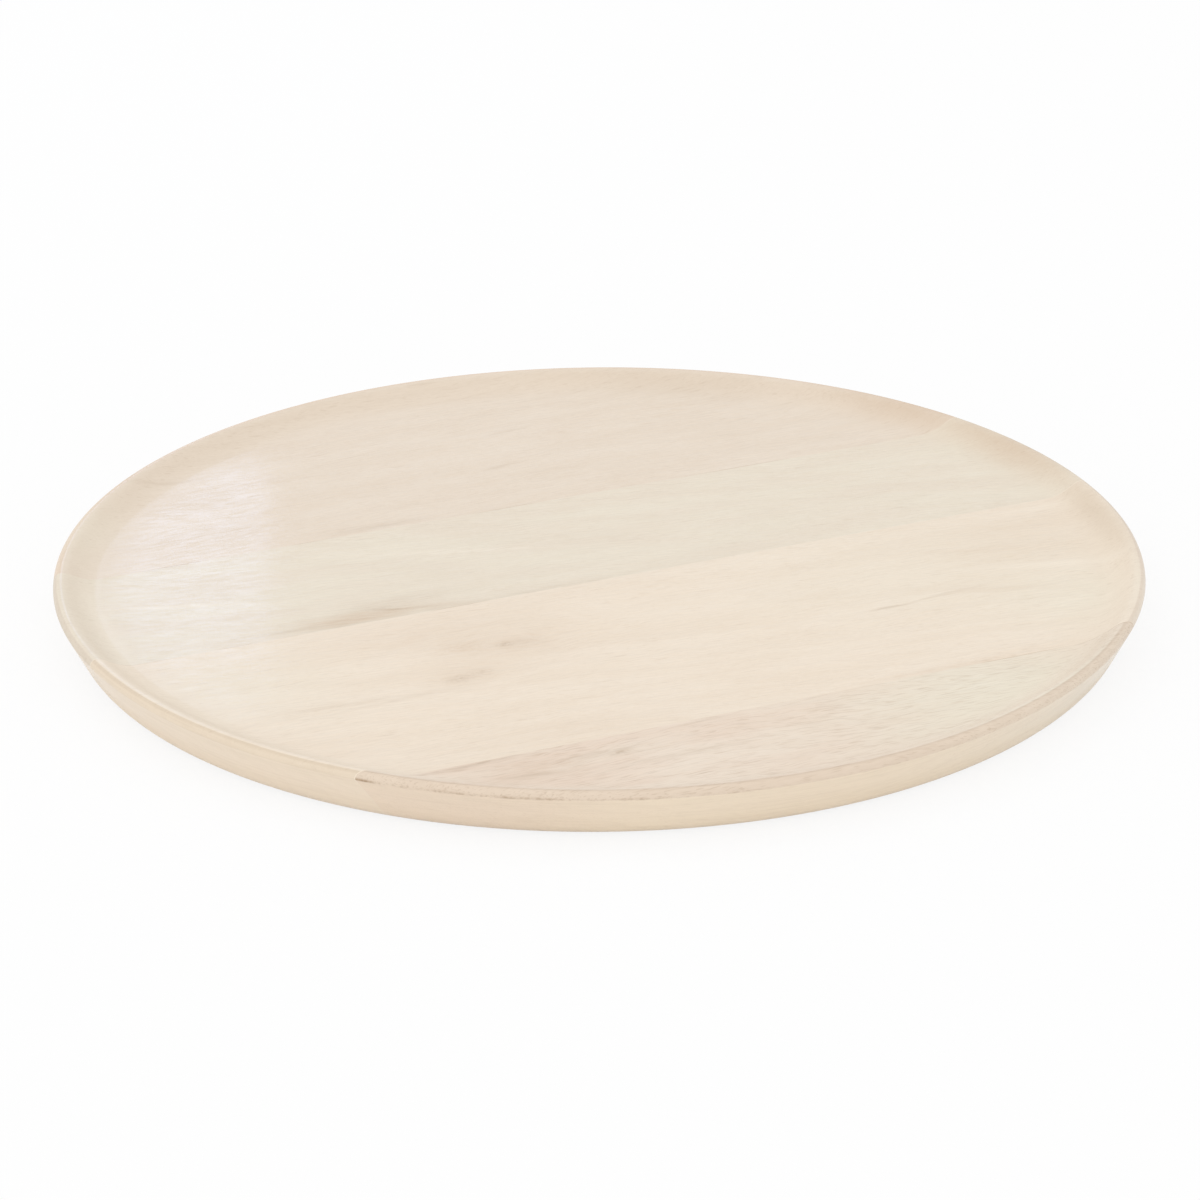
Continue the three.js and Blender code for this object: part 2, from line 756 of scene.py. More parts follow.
class WoodFinish:
    """Whitewashed, lacquered wood whose grain runs through the board."""

    DARK_FIBRE = tone(178, 156, 130)
    BROWN_STAIN = tone(196, 165, 134)
    PALE_FIBRE = tone(246, 236, 220)
    OLIVE_TINT = tone(234, 226, 207)
    PORE = tone(172, 146, 118)

    LONG_WAVE_MM = 17.0
    SHORT_WAVE_MM = 3.4
    RIPPLE_MM = 1.1
    RING_WANDER = 1.6
    RIM_TONE_COVER = 0.9
    WALL_HIDES = 0.75
    RIM_LINE_DEPTH = 0.30
    FIBRE_DEPTH = 0.19
    DASH_DEPTH = 0.13
    RIGHT_END_MM = 150.0
    JOINT_TONE_STARTS_MM = -60.0
    JOINT_TONE_FULL_MM = -115.0
    WEAR_STARTS_MM = 40.0
    WEAR_FULL_MM = -110.0
    JOINT_WEAR_MM = -145.0
    RIDGE_SHADE_WIDTH_MM = 0.6
    RIDGE_SHADE_BASE_MM = 18.0
    COAT_STARVED = 0.75
    BASE_ROUGHNESS = 0.46
    BASE_SPECULAR = 0.2
    RELIEF_STRENGTH = 0.35
    RELIEF_DEPTH = 0.00006

    def __init__(self, name: str, grain: BoardGrain, profile: PlateProfile, lacquer: Lacquer) -> None:
        """Build the material.

        Args:
            name: Name of the material.
            grain: The board's own grain.
            profile: Section of the plate, which tells rim from floor.
            lacquer: The coat on top.
        """
        self.grain = grain
        self.profile = profile
        self.lacquer = lacquer
        self.material = bpy.data.materials.new(name)
        self.material.use_nodes = True
        self.graph = Graph(self.material.node_tree)
        self._read_place()
        self._lay_grain()
        self._assemble()

    def _read_place(self) -> None:
        """Read the place in the board, in millimetres, and bend it to follow the grain."""
        graph, grain = self.graph, self.grain
        coordinates = graph.node("ShaderNodeTexCoord")
        place = graph.scaled(graph.out(coordinates, "Object"), (MM_PER_METRE,) * 3)
        self.x, self.y, self.z = graph.parts(place)
        self.seeded = graph.moved(place, (grain.seed * 137.0, grain.seed * 71.0, grain.seed * 53.0))
        tilt = math.radians(grain.tilt_deg)
        along = self.x * math.cos(tilt) + self.y * math.sin(tilt)
        across = self.y * math.cos(tilt) - self.x * math.sin(tilt)
        long_wave = graph.noise(graph.scaled(self.seeded, (1 / 140, 1 / 42, 1 / 42)), 1.0) - 0.5
        short_wave = graph.noise(graph.scaled(self.seeded, (1 / 22, 1 / 11, 1 / 11)), 1.0) - 0.5
        ripple = graph.noise(graph.scaled(self.seeded, (1 / 7, 1 / 4, 1 / 4)), 0.0) - 0.5
        across = across + long_wave * self.LONG_WAVE_MM + short_wave * self.SHORT_WAVE_MM
        across = across + ripple * self.RIPPLE_MM
        for knot in grain.knots:
            across = across + self._push(knot)
        self.along = along
        self.across = across
        self.radius = (self.x.squared() + self.y.squared()).root()

    def _push(self, knot: Knot) -> Val:
        """How far a knot bends the grain lines aside.

        Args:
            knot: The knot.

        Returns:
            Shift across the grain, in millimetres.
        """
        off_x = (self.x - knot.x_mm) / knot.reach_mm
        off_y = (self.y - knot.y_mm) / knot.spread_mm
        near = (-(off_x.squared() + off_y.squared())).exp()
        return -(self.y - knot.y_mm) * near * knot.push

    def _fibres(self, length_mm: float, width_mm: float, detail: float, shift: float = 0.0) -> Val:
        """Noise drawn out along the bent grain.

        Args:
            length_mm: Length of a fibre.
            width_mm: Thickness of a fibre.
            detail: Octaves of finer fibres inside.
            shift: Moves this layer away from the others.

        Returns:
            The noise, about 0.5 on average.
        """
        start = self.grain.seed * 29.0 + shift
        place = self.graph.vector(
            self.along / length_mm + start, self.across / width_mm + start, self.z / width_mm + start
        )
        return self.graph.noise(place, detail, 0.6)

    def _rings(self) -> Val:
        """Growth rings about a pith that lies below the board and rises along it.

        Returns:
            Share of the dark part of a ring, 0 to 1.
        """
        grain = self.grain
        pith_z = self.x * grain.pith_rise + grain.pith_z_mm
        depth = self.z - pith_z
        distance = ((self.across - grain.pith_y_mm).squared() + depth.squared()).root()
        wander = self.graph.noise(self.graph.scaled(self.seeded, (1 / 60, 1 / 9, 1 / 9)), 1.0)
        turn = (distance / grain.ring_gap_mm + wander * self.RING_WANDER).fraction()
        return turn.step(0.25, 0.92) * turn.step(1.0, 0.92)

    def _mark(self, mark: GrainMark) -> Val:
        """Share of a mark at this place, ragged along the fibres.

        Args:
            mark: The mark.

        Returns:
            Share of the mark's colour.
        """
        turn = math.radians(mark.turn_deg)
        off_x, off_y = self.x - mark.x_mm, self.y - mark.y_mm
        run = off_x * math.cos(turn) + off_y * math.sin(turn)
        rise = off_y * math.cos(turn) - off_x * math.sin(turn) + self.wobble
        near = (-((run / mark.length_mm).squared() + (rise / mark.width_mm).squared())).exp()
        return near * (1.0 + self.ragged * mark.fibrous + self.speck * mark.grainy) * mark.strength

    def _lay_grain(self) -> None:
        """Draw the layers of grain that the colour and the surface are made from."""
        graph = self.graph
        stretch = self.grain.pore_stretch
        self.fibre = self._fibres(7.0, 0.8, 2.0)
        self.pores = self._fibres(5.0 * stretch, 0.65, 1.0, 11.0).step(0.56, 0.74)
        self.fine_pores = self._fibres(2.6 * stretch, 0.45, 0.0, 23.0).step(0.60, 0.74)
        self.dashes = self._fibres(12.0, 1.0, 0.0, 67.0).step(0.70, 0.82)
        self.crowd = self._fibres(40.0, 12.0, 1.0, 37.0).step(0.34, 0.66)
        self.cloud = self._fibres(60.0, 17.0, 1.0, 41.0)
        self.ring = self._rings()
        self.wobble = (self._fibres(16.0, 5.0, 1.0, 53.0) - 0.5) * 3.0
        self.ragged = (self._fibres(9.0, 1.2, 2.0, 59.0) - 0.5) * 3.0
        tangent = graph.math("ARCTAN2", self.y, self.x) * (self.profile.rim_radius * MM_PER_METRE)
        self.turning = graph.noise(graph.vector(tangent / 32.0, self.z / 0.9, self.radius / 0.9), 2.0)
        self.glint = self._fibres(9.0, 0.74, 1.0, 73.0).step(0.32, 0.68)
        self.speck = (graph.noise(graph.scaled(self.seeded, (1 / 1.6, 1 / 1.2, 1 / 1.2)), 1.0) - 0.5) * 6.0

    def _rim_shares(self) -> tuple[Val, Val, Val, Val]:
        """Shares of the cove, the crown, the outer wall and the worn arris at this place.

        Returns:
            The four shares, in that order.
        """
        profile = self.profile
        floor_mm = profile.floor_height * MM_PER_METRE
        rim_mm = profile.rim_radius * MM_PER_METRE
        ridge_mm = profile.ridge_radius * MM_PER_METRE
        arris_mm = profile.arris_height * MM_PER_METRE
        inner_mm = profile.floor_radius * MM_PER_METRE
        outside = self.radius.step(ridge_mm - 2.0, ridge_mm)
        below_floor = self.z.step(floor_mm - 0.2, floor_mm - 1.0)
        below_arris = self.z.step(arris_mm + 0.2, arris_mm - 0.4)
        wall = below_floor.most(below_arris * outside)
        # Cove share: where the cove tone applies, which is partly thinner whitewash and partly painted
        # shade in the hollow. It fades out before the ridge, so the ridge keeps the lighter plain tone.
        cove = self.radius.step(inner_mm - 3.0, ridge_mm - 2.0) * self.radius.step(ridge_mm, ridge_mm - 3.5)
        band = self.grain.crown_band
        from_ridge = self.radius - ridge_mm
        wall = wall.most(from_ridge.step(band.end_mm, band.end_mm + 0.6) * 0.5)
        # Crown share: a band of painted shade, with thinner whitewash, just outside the ridge; on the front
        # and back boards it starts inside the ridge.
        crown = from_ridge.step(band.start_mm, band.full_mm)
        off_radius = (self.radius - (rim_mm - 0.1)) / 0.4
        off_height = (self.z - (arris_mm + 0.1)) / 0.5
        arris = (-(off_radius.squared() + off_height.squared())).exp()
        return cove, crown, wall, arris

    def _colour(self, cove: Val, crown: Val, wall: Val, arris: Val) -> Val:
        """Colour of the wood from its layers, with whitewash thinner on the turned rim, painted shade in
        the cove, on the crown and along the front board's ridge, and painted light on the outer wall.

        Args:
            cove: Share of the cove.
            crown: Share of the crown.
            wall: Share of the outer wall.
            arris: Share of the worn arris.

        Returns:
            The base colour.
        """
        graph, grain = self.graph, self.grain
        open_face = 1.0 - wall * self.WALL_HIDES
        floor_edge_mm = self.profile.floor_radius * MM_PER_METRE
        beyond_floor = self.radius.step(floor_edge_mm - 4.0, floor_edge_mm + 4.0)
        sawn_face = 1.0 - wall * beyond_floor * self.WALL_HIDES
        shades = {
            MarkKind.DARK: self.DARK_FIBRE,
            MarkKind.BROWN: self.BROWN_STAIN,
            MarkKind.PALE: self.PALE_FIBRE,
            MarkKind.OLIVE: self.OLIVE_TINT,
        }
        colour = graph.blend(self.cloud.step(0.32, 0.68), grain.pale, grain.blush)
        for mark in grain.tints:
            colour = graph.blend(self._mark(mark), colour, shades[mark.kind])
        # Cove tone: partly thinner whitewash in the turned cove, partly painted shade in the hollow.
        colour = graph.blend(cove * self.RIM_TONE_COVER, colour, grain.cove)
        right_end = self.x.step(0.0, self.RIGHT_END_MM)
        # Crown tone: partly thinner whitewash, partly painted shade on the crown.
        crown_tone = graph.blend(right_end, grain.crown, grain.crown_end)
        colour = graph.blend(crown * self.RIM_TONE_COVER, colour, crown_tone)
        # Wall tone, turning to wall_end at the right end: partly the bare tan of the turned wall, partly
        # painted light that lifts the outer wall towards the floor's brightness.
        wall_tone = graph.blend(right_end, grain.wall, grain.wall_end)
        if grain.wall_by_joint is not None:
            by_joint = self.x.step(self.JOINT_TONE_STARTS_MM, self.JOINT_TONE_FULL_MM)
            wall_tone = graph.blend(by_joint, wall_tone, grain.wall_by_joint)
        colour = graph.blend(wall * self.RIM_TONE_COVER, colour, wall_tone)
        colour = graph.blend(self.ring * grain.ring_depth, colour, self.DARK_FIBRE)
        rim_lines = crown.most(wall) * (self.turning - 0.45).most(0.0) * self.RIM_LINE_DEPTH
        colour = graph.blend(rim_lines, colour, self.DARK_FIBRE)
        fibre = (self.fibre - 0.35).most(0.0) * self.FIBRE_DEPTH
        colour = graph.blend(fibre * sawn_face, colour, self.DARK_FIBRE)
        colour = graph.blend(self.dashes * sawn_face * self.DASH_DEPTH, colour, self.PORE)
        colour = graph.blend(self.pores * self.crowd * sawn_face * grain.pore_depth, colour, self.PORE)
        colour = graph.blend(self.fine_pores * sawn_face * grain.fleck_depth, colour, self.PORE)
        for mark in grain.marks:
            colour = graph.blend(self._mark(mark) * open_face, colour, shades[mark.kind])
        joint_wear = self.x.step(self.JOINT_WEAR_MM + 2.0, self.JOINT_WEAR_MM - 2.0)
        patchy = self.crowd * 0.5 + self.speck * 0.2 + joint_wear * 0.5
        worn = arris * patchy * self.x.step(self.WEAR_STARTS_MM, self.WEAR_FULL_MM) * grain.worn_arris
        colour = graph.blend(worn, colour, self.PORE)
        # Painted shade: a dark line along the top of the ridge, used on the front board, that stands in for
        # the ridge's shaded top.
        off_ridge = (self.radius - self.profile.ridge_radius * MM_PER_METRE) / self.RIDGE_SHADE_WIDTH_MM
        high = self.z.step(self.RIDGE_SHADE_BASE_MM, self.RIDGE_SHADE_BASE_MM + 1.0)
        line = (-off_ridge.squared()).exp() * high * self.fibre * grain.painted_ridge_shade
        return graph.blend(line, colour, self.PORE)

    def _coat(self) -> Val:
        """Weight of the lacquer: streaky on the floor, thin in the cove and even on the rim.

        Returns:
            The coat weight.
        """
        floor_mm = self.profile.floor_radius * MM_PER_METRE
        ridge_mm = self.profile.ridge_radius * MM_PER_METRE
        flat = self.radius.step(floor_mm + 6.0, floor_mm - 6.0)
        drawn = 0.5 + (self.glint - 0.5) * flat
        inside_ridge = self.radius.step(ridge_mm, ridge_mm - 4.0)
        starved = self.radius.step(floor_mm - 14.0, floor_mm + 10.0) * inside_ridge
        weight = self.lacquer.weight - drawn * self.lacquer.unevenness
        return weight * (1.0 - starved * self.COAT_STARVED)

    def _assemble(self) -> None:
        """Join colour, roughness, relief and lacquer in one shader."""
        graph = self.graph
        cove, crown, wall, arris = self._rim_shares()
        relief = self.fibre * 0.35 - self.pores * 0.55 - self.fine_pores * 0.4
        bump = graph.node(
            "ShaderNodeBump",
            {"Height": relief, "Strength": self.RELIEF_STRENGTH, "Distance": self.RELIEF_DEPTH},
        )
        shader = graph.node(
            "ShaderNodeBsdfPrincipled",
            {
                "Base Color": self._colour(cove, crown, wall, arris),
                "Roughness": self.BASE_ROUGHNESS + self.fibre * 0.12 + self.pores * 0.10,
                "Normal": graph.out(bump, "Normal"),
                "Coat Weight": self._coat(),
                "Specular IOR Level": self.BASE_SPECULAR,
            },
        )
        self.lacquer.lay_on(shader)
        output = graph.node("ShaderNodeOutputMaterial")
        self.graph.tree.links.new(shader.outputs["BSDF"], output.inputs["Surface"])


@dataclass(frozen=True)
class GlueTone:
    """Colour of one glue line, clear in some stretches and stained in others."""

    clear: Colour
    stained: Colour
    stain_from: float
    stain_to: float
    clean_end_mm: float
    stained_end_mm: float
    seed: float


class GlueFinish:
    """Cured wood glue, sanded flush with the boards and lacquered over."""

    BASE_ROUGHNESS = 0.42
    BASE_SPECULAR = 0.2
    RELIEF_STRENGTH = 0.3
    RELIEF_DEPTH = 0.00003

    def __init__(self, name: str, glue: GlueTone, lacquer: Lacquer) -> None:
        """Build the material.

        Args:
            name: Name of the material.
            glue: Colours of the line.
            lacquer: The coat on top.
        """
        self.material = bpy.data.materials.new(name)
        self.material.use_nodes = True
        graph = Graph(self.material.node_tree)
        coordinates = graph.node("ShaderNodeTexCoord")
        place = graph.scaled(graph.out(coordinates, "Object"), (MM_PER_METRE,) * 3)
        seeded = graph.moved(place, (glue.seed * 61.0, 0.0, 0.0))
        x, _, _ = graph.parts(place)
        drift = graph.noise(graph.scaled(seeded, (1 / 34, 1 / 10, 1 / 10)), 2.0)
        stain = drift.step(glue.stain_from, glue.stain_to) * x.step(glue.clean_end_mm, glue.stained_end_mm)
        speck = graph.noise(graph.scaled(seeded, (1 / 2.5, 1 / 0.6, 1 / 0.6)), 2.0)
        bump = graph.node(
            "ShaderNodeBump",
            {"Height": speck, "Strength": self.RELIEF_STRENGTH, "Distance": self.RELIEF_DEPTH},
        )
        shader = graph.node(
            "ShaderNodeBsdfPrincipled",
            {
                "Base Color": graph.blend(stain * (0.6 + speck * 0.6), glue.clear, glue.stained),
                "Roughness": self.BASE_ROUGHNESS + speck * 0.16,
                "Normal": graph.out(bump, "Normal"),
                "Coat Weight": lacquer.weight - lacquer.unevenness * speck,
                "Specular IOR Level": self.BASE_SPECULAR,
            },
        )
        lacquer.lay_on(shader)
        output = graph.node("ShaderNodeOutputMaterial")
        graph.tree.links.new(shader.outputs["BSDF"], output.inputs["Surface"])


@dataclass(frozen=True)
class PlatePiece:
    """Names of one piece: its own, that of the solid it stands for and that of its material slot."""

    name: str
    node: str
    slot: str


@dataclass(frozen=True)
class BoardPiece:
    """A turned board of the panel."""

    piece: PlatePiece
    grain: BoardGrain

    def build(self, rule: TurningRule, lacquer: Lacquer) -> bpy.types.Object:
        """Turn the board and dress it.

        Args:
            rule: The turning rule.
            lacquer: The plate's lacquer.

        Returns:
            The finished board.
        """
        finish = WoodFinish(self.piece.name + "_wood", self.grain, rule.profile, lacquer)
        return place_piece(self.piece, rule, finish.material)


@dataclass(frozen=True)
class GluePiece:
    """A glue line between two boards."""

    piece: PlatePiece
    glue: GlueTone

    def build(self, rule: TurningRule, lacquer: Lacquer) -> bpy.types.Object:
        """Turn the glue line and dress it.

        Args:
            rule: The turning rule.
            lacquer: The plate's lacquer.

        Returns:
            The finished glue line.
        """
        finish = GlueFinish(self.piece.name + "_film", self.glue, lacquer)
        return place_piece(self.piece, rule, finish.material)


def place_piece(piece: PlatePiece, rule: TurningRule, finish: bpy.types.Material) -> bpy.types.Object:
    """Turn a piece between its solid's faces and let it stand for that solid.

    Args:
        piece: Names of the piece.
        rule: The turning rule.
        finish: Material that it wears.

    Returns:
        The finished object.
    """
    low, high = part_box(piece.node)
    rim = rule.profile.rim_radius
    beyond = rim * BEYOND_RIM
    near_rim = rim * AT_RIM
    front = -beyond if low.y < -near_rim else low.y
    back = beyond if high.y > near_rim else high.y
    made = rule.piece(piece.name, front, back, finish)
    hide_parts(piece.node)
    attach(made, ROOT_BODY)
    return made


FRONT_BOARD = BoardPiece(
    PlatePiece("front_board", "front_stave", "front_board"),
    BoardGrain(
        pale=tone(235, 220, 203),
        blush=tone(232, 213, 195),
        cove=tone(235, 221, 203),
        crown=tone(226, 208, 188),
        crown_end=tone(229, 213, 194),
        wall=tone(240, 224, 201),
        wall_end=tone(238, 226, 207),
        wall_by_joint=tone(235, 217, 196),
        seed=1.0,
        crown_band=CrownBand(-0.8, 0.2),
        tilt_deg=-3.0,
        pith_y_mm=-120.0,
        pith_z_mm=-60.0,
        pith_rise=0.06,
        pore_depth=0.32,
        fleck_depth=0.22,
        pore_stretch=2.2,
        worn_arris=1.3,
        painted_ridge_shade=0.5,
        tints=(GrainMark(85.0, -160.0, 62.0, 45.0, 0.90, MarkKind.OLIVE, fibrous=0.1),),
        marks=(
            GrainMark(-88.0, -147.0, 32.0, 10.0, 0.16, MarkKind.BROWN),
            GrainMark(-110.0, -135.4, 20.0, 1.1, 0.30),
            GrainMark(-90.0, -151.3, 11.0, 1.3, 0.30, turn_deg=-10.0),
            GrainMark(-64.0, -144.8, 13.0, 1.4, 0.32),
            GrainMark(-58.0, -147.0, 4.0, 1.4, 0.32, grainy=0.5),
            GrainMark(-22.0, -136.2, 10.0, 0.9, 0.26),
            GrainMark(-35.0, -157.0, 24.0, 1.6, 0.16),
            # Painted shade: a dark band across the ridge at the right front, like the painted ridge shade
            # line.
            GrainMark(128.0, -146.0, 4.5, 26.0, 0.13, MarkKind.DARK, -49.0, 0.2),
        ),
    ),
)

WIDE_BOARD = BoardPiece(
    PlatePiece("wide_board", "wide_centre_stave", "wide_board"),
    BoardGrain(
        pale=tone(239, 225, 207),
        blush=tone(237, 222, 203),
        cove=tone(235, 221, 202),
        crown=tone(221, 204, 181),
        crown_end=tone(227, 212, 194),
        wall=tone(237, 221, 200),
        wall_end=tone(236, 224, 206),
        seed=2.0,
        crown_band=CrownBand(0.3, 0.9, 1.4),
        tilt_deg=-5.0,
        pith_y_mm=-40.0,
        pith_z_mm=-75.0,
        pith_rise=0.05,
        tints=(
            GrainMark(150.0, -95.0, 34.0, 26.0, 0.55, MarkKind.OLIVE, fibrous=0.3),
            GrainMark(-160.0, -40.0, 34.0, 34.0, 0.45, MarkKind.OLIVE, fibrous=0.3),
            GrainMark(110.0, -48.0, 75.0, 42.0, 0.32, MarkKind.OLIVE, fibrous=0.2),
        ),
        marks=(
            GrainMark(-73.0, -44.0, 9.5, 5.5, 0.20, MarkKind.BROWN, fibrous=0.3, grainy=0.3),
            GrainMark(-58.0, -48.0, 3.0, 1.9, 0.42, MarkKind.DARK, -10.0, 0.3, 0.5),
            GrainMark(-51.0, -49.4, 7.0, 3.4, 0.12, MarkKind.DARK, -16.0, 0.3, 0.2),
            GrainMark(-54.0, -48.0, 16.0, 8.0, 0.11, MarkKind.BROWN, fibrous=0.4),
            GrainMark(-84.0, -68.9, 5.5, 3.3, 0.24, MarkKind.DARK, 17.0, 0.3, 0.5),
            GrainMark(-74.0, -66.3, 4.0, 2.0, 0.14, MarkKind.DARK, 0.0, 0.3, 1.2),
            GrainMark(-66.0, -56.0, 36.0, 20.0, 0.08, MarkKind.BROWN, 0.0, 0.3),
            GrainMark(-82.0, -68.0, 14.0, 7.0, 0.10, MarkKind.BROWN, 15.0, 0.4),
            GrainMark(-131.0, -71.7, 22.0, 1.4, 0.18, MarkKind.DARK, -5.0),
            GrainMark(-108.0, -76.0, 22.0, 1.4, 0.14, MarkKind.DARK, 4.0),
            GrainMark(80.0, -76.6, 7.0, 1.1, 0.34, MarkKind.DARK, 0.0, 0.6),
            GrainMark(101.0, -74.8, 16.0, 0.9, 0.22, MarkKind.DARK, 7.0, 0.6),
            GrainMark(155.0, -66.5, 28.0, 3.2, 0.36, MarkKind.PALE, -16.0, 0.4),
            GrainMark(72.0, -132.0, 30.0, 2.6, 0.16, MarkKind.BROWN, 0.0, 0.8),
            GrainMark(132.0, -42.0, 26.0, 3.0, 0.10, MarkKind.BROWN, -14.0, 0.8),
            GrainMark(125.0, -78.0, 22.0, 2.6, 0.10, MarkKind.BROWN, -20.0, 0.8),
            GrainMark(-85.0, -24.0, 42.0, 15.0, 0.14, MarkKind.BROWN, 0.0, 0.5),
            GrainMark(175.0, -16.0, 24.0, 2.2, 0.26, MarkKind.PALE, 0.0, 0.5),
            GrainMark(152.0, -36.0, 48.0, 32.0, 0.09, MarkKind.BROWN, 0.0, 0.2),
            GrainMark(190.0, -32.0, 6.0, 52.0, 0.21, MarkKind.DARK, -9.0, 0.2),
            GrainMark(-70.0, -122.0, 50.0, 11.0, 0.08, MarkKind.BROWN, 0.0, 0.4),
        ),
        knots=(Knot(-57.0, -47.0, 26.0, 14.0, 0.7), Knot(-83.0, -67.0, 26.0, 12.0, 0.6)),
    ),
)

NARROW_BOARD = BoardPiece(
    PlatePiece("narrow_board", "narrow_centre_stave", "narrow_board"),
    BoardGrain(
        pale=tone(232, 222, 204),
        blush=tone(230, 218, 200),
        cove=tone(230, 218, 200),
        crown=tone(218, 205, 187),
        crown_end=tone(222, 206, 189),
        wall=tone(235, 220, 200),
        wall_end=tone(235, 220, 200),
        seed=3.0,
        crown_band=CrownBand(0.8, 1.6),
        tilt_deg=-9.0,
        pith_y_mm=20.0,
        pith_z_mm=-50.0,
        pith_rise=-0.08,
        marks=(
            GrainMark(-84.0, -1.2, 8.0, 1.4, 0.34, turn_deg=-21.0, fibrous=0.6, grainy=0.4),
            GrainMark(-106.0, -4.0, 15.0, 5.5, 0.26, MarkKind.BROWN, fibrous=0.8),
            GrainMark(-104.0, -8.6, 14.0, 0.9, 0.12),
            GrainMark(-92.0, -4.6, 19.0, 4.6, 0.36, MarkKind.BROWN, fibrous=0.6),
            GrainMark(-68.0, -6.0, 16.0, 2.6, 0.20, MarkKind.BROWN, -8.0, 0.7),
            GrainMark(-72.0, -5.2, 9.0, 1.2, 0.16, turn_deg=-14.0),
            GrainMark(-25.0, -8.4, 40.0, 1.4, 0.16),
            GrainMark(-125.0, -5.0, 14.0, 1.5, 0.18),
            GrainMark(-80.0, 4.0, 20.0, 5.0, 0.14),
            GrainMark(-152.0, 33.0, 26.0, 1.2, 0.35, MarkKind.PALE, -19.0, 0.4),
            GrainMark(-40.0, 38.0, 36.0, 1.6, 0.30, MarkKind.PALE, -18.0, 0.6),
            # Painted highlight: a pale band at the start of the left cove that carries the window's sheen
            # on into the cove.
            GrainMark(-183.5, 18.0, 4.0, 44.0, 0.28, MarkKind.PALE, -6.0, 0.2),
            GrainMark(192.0, 36.0, 9.0, 50.0, 0.36, MarkKind.BROWN, 11.0, 0.2),
        ),
    ),
)

BACK_BOARD = BoardPiece(
    PlatePiece("back_board", "back_stave", "back_board"),
    BoardGrain(
        pale=tone(231, 217, 200),
        blush=tone(229, 214, 196),
        cove=tone(228, 213, 195),
        crown=tone(228, 206, 184),
        crown_end=tone(226, 205, 184),
        wall=tone(235, 216, 195),
        wall_end=tone(235, 216, 195),
        seed=4.0,
        crown_band=CrownBand(-1.5, 0.5),
        tilt_deg=0.0,
        pith_y_mm=120.0,
        pith_z_mm=-70.0,
        pith_rise=0.04,
        marks=(
            GrainMark(8.0, 109.5, 8.0, 1.3, 0.22, MarkKind.DARK, 8.0, 0.5),
            GrainMark(24.0, 143.0, 10.0, 1.4, 0.16, MarkKind.DARK, 10.0, 0.5),
            GrainMark(-118.0, 146.0, 14.0, 1.4, 0.18, MarkKind.DARK, 4.0, 0.5),
            GrainMark(-58.0, 73.0, 16.0, 2.0, 0.18, MarkKind.DARK, 0.0, 0.8),
            GrainMark(174.0, 90.0, 9.0, 40.0, 0.29, MarkKind.BROWN, 27.0, 0.2),
            GrainMark(104.0, 158.0, 9.0, 36.0, 0.12, MarkKind.DARK, 56.0, 0.2),
            # Painted highlight: a paler band in the left cove that carries the window's sheen on into it.
            GrainMark(-164.0, 104.0, 10.0, 34.0, 0.35, MarkKind.OLIVE, -32.0, 0.2),
        ),
    ),
)

FRONT_GLUE = GluePiece(
    PlatePiece("front_glue", "front_glue_line", "glue"),
    GlueTone(tone(235, 220, 200), tone(200, 178, 152), 0.30, 0.50, 55.0, 95.0, 1.0),
)
CENTRE_GLUE = GluePiece(
    PlatePiece("centre_glue", "centre_glue_line", "glue"),
    GlueTone(tone(235, 222, 204), tone(202, 182, 158), 0.42, 0.56, 25.0, -25.0, 2.0),
)
BACK_GLUE = GluePiece(
    PlatePiece("back_glue", "back_glue_line", "glue"),
    GlueTone(tone(231, 217, 199), tone(196, 174, 150), 0.46, 0.62, 300.0, 60.0, 3.0),
)

PLATE_PIECES: tuple[BoardPiece | GluePiece, ...] = (
    FRONT_BOARD,
    FRONT_GLUE,
    WIDE_BOARD,
    CENTRE_GLUE,
    NARROW_BOARD,
    BACK_GLUE,
    BACK_BOARD,
)


@dataclass(frozen=True)
class PhotoCamera:
    """Camera that sees the plate as the photo does, placed in plate radii and photo pixels."""

    azimuth: float = math.radians(-23.856)
    elevation: float = math.radians(23.50)
    roll: float = math.radians(-0.47)
    distance_radii: float = 8.732
    focal_px: float = 4725.0
    frame_px: float = 1200.0
    centre_x_px: float = 599.5
    centre_y_px: float = 606.7
    sensor_mm: float = 36.0

    def away(self) -> Vector:
        """Level direction in which the camera looks."""
        return Vector((-math.sin(self.azimuth), math.cos(self.azimuth), 0.0))

    def side(self) -> Vector:
        """Level direction to the camera's right."""
        return Vector((math.cos(self.azimuth), math.sin(self.azimuth), 0.0))

    def build(self, rim_radius: float) -> bpy.types.Object:
        """Make the camera and look through it.

        Args:
            rim_radius: Radius of the plate.

        Returns:
            The camera object.
        """
        lens = bpy.data.cameras.new("photo_camera")
        lens.sensor_width = self.sensor_mm
        lens.lens = self.focal_px / self.frame_px * self.sensor_mm
        lens.shift_x = 0.5 - self.centre_x_px / self.frame_px
        lens.shift_y = self.centre_y_px / self.frame_px - 0.5
        camera = bpy.data.objects.new("photo_camera", lens)
        back = Vector((0.0, 0.0, math.sin(self.elevation))) - self.away() * math.cos(self.elevation)
        level_up = back.cross(self.side())
        right = self.side() * math.cos(self.roll) + level_up * math.sin(self.roll)
        up = level_up * math.cos(self.roll) - self.side() * math.sin(self.roll)
        turn = Matrix((right, up, back)).transposed().to_4x4()
        camera.matrix_world = Matrix.Translation(back * self.distance_radii * rim_radius) @ turn
        bpy.context.scene.collection.objects.link(camera)
        bpy.context.scene.camera = camera
        return camera


